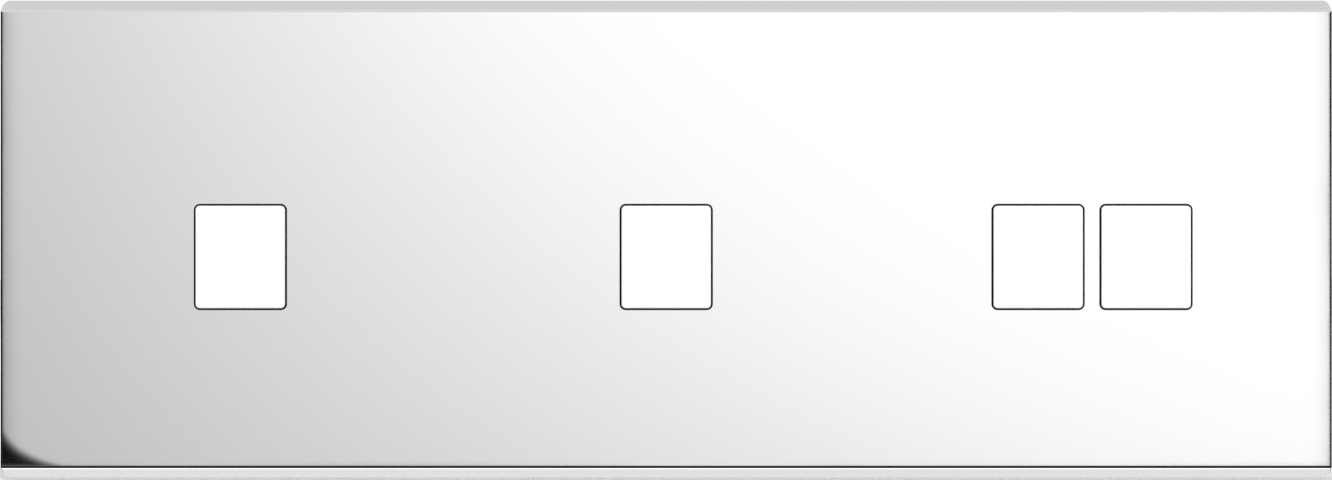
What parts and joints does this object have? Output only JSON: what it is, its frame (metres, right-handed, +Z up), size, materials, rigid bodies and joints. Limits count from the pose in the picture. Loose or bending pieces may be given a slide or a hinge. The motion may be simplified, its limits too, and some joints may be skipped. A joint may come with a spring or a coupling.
{
  "type": "switch plate",
  "caption": "Long polished switch plate with bevelled long edges and small white push keys, snapped over switches that screw to wall boxes set side by side.",
  "frame": {"origin": "centre of the plate, on the wall's face", "axes": "+X along the plate, +Y into the wall, +Z up; the keys face -Y"},
  "size_m": [0.222, 0.0265, 0.08],
  "materials": {
    "polished_chrome": "mirror polish",
    "white_plastic": "gloss",
    "black_plastic": "matt",
    "grey_plastic": "matt",
    "natural_plastic": "satin",
    "zinc_steel": "zinc plated",
    "spring_bronze": "bright rolled",
    "contact_brass": "bright rolled"
  },
  "bodies": {
    "wall_unit": {"face_plate": "polished_chrome", "key_frame_left": "black_plastic", "mounting_yoke_left": "zinc_steel", "switch_base_left": "grey_plastic", "key_frame_centre": "black_plastic", "mounting_yoke_centre": "zinc_steel", "switch_base_centre": "grey_plastic", "key_frame_right": "black_plastic", "mounting_yoke_right": "zinc_steel", "switch_base_right": "grey_plastic", "contact_spring_left": "spring_bronze", "fixed_contact_left": "contact_brass", "contact_spring_centre": "spring_bronze", "fixed_contact_centre": "contact_brass", "contact_spring_right_inner": "spring_bronze", "fixed_contact_right_inner": "contact_brass", "contact_spring_right_outer": "spring_bronze", "fixed_contact_right_outer": "contact_brass", "terminal_screws": "contact_brass", "terminal_clamps": "zinc_steel"},
    "key_left": {"key_cap_left": "white_plastic", "key_slider_left": "natural_plastic"},
    "key_centre": {"key_cap_centre": "white_plastic", "key_slider_centre": "natural_plastic"},
    "key_right_inner": {"key_cap_right_inner": "white_plastic", "key_slider_right_inner": "natural_plastic"},
    "key_right_outer": {"key_cap_right_outer": "white_plastic", "key_slider_right_outer": "natural_plastic"}
  },
  "joints": [
    {"name": "key_left_press", "type": "slide", "parent": "wall_unit", "child": "key_left", "axis": [0, 1, 0], "range_m": [0, 0.0016], "stiffness_N_per_m": 800, "springref_m": -0.0015, "deforming": ["contact_spring_left"]},
    {"name": "key_centre_press", "type": "slide", "parent": "wall_unit", "child": "key_centre", "axis": [0, 1, 0], "range_m": [0, 0.0016], "stiffness_N_per_m": 800, "springref_m": -0.0015, "deforming": ["contact_spring_centre"]},
    {"name": "key_right_inner_press", "type": "slide", "parent": "wall_unit", "child": "key_right_inner", "axis": [0, 1, 0], "range_m": [0, 0.0016], "stiffness_N_per_m": 800, "springref_m": -0.0015, "deforming": ["contact_spring_right_inner"]},
    {"name": "key_right_outer_press", "type": "slide", "parent": "wall_unit", "child": "key_right_outer", "axis": [0, 1, 0], "range_m": [0, 0.0016], "stiffness_N_per_m": 800, "springref_m": -0.0015, "deforming": ["contact_spring_right_outer"]}
  ]
}
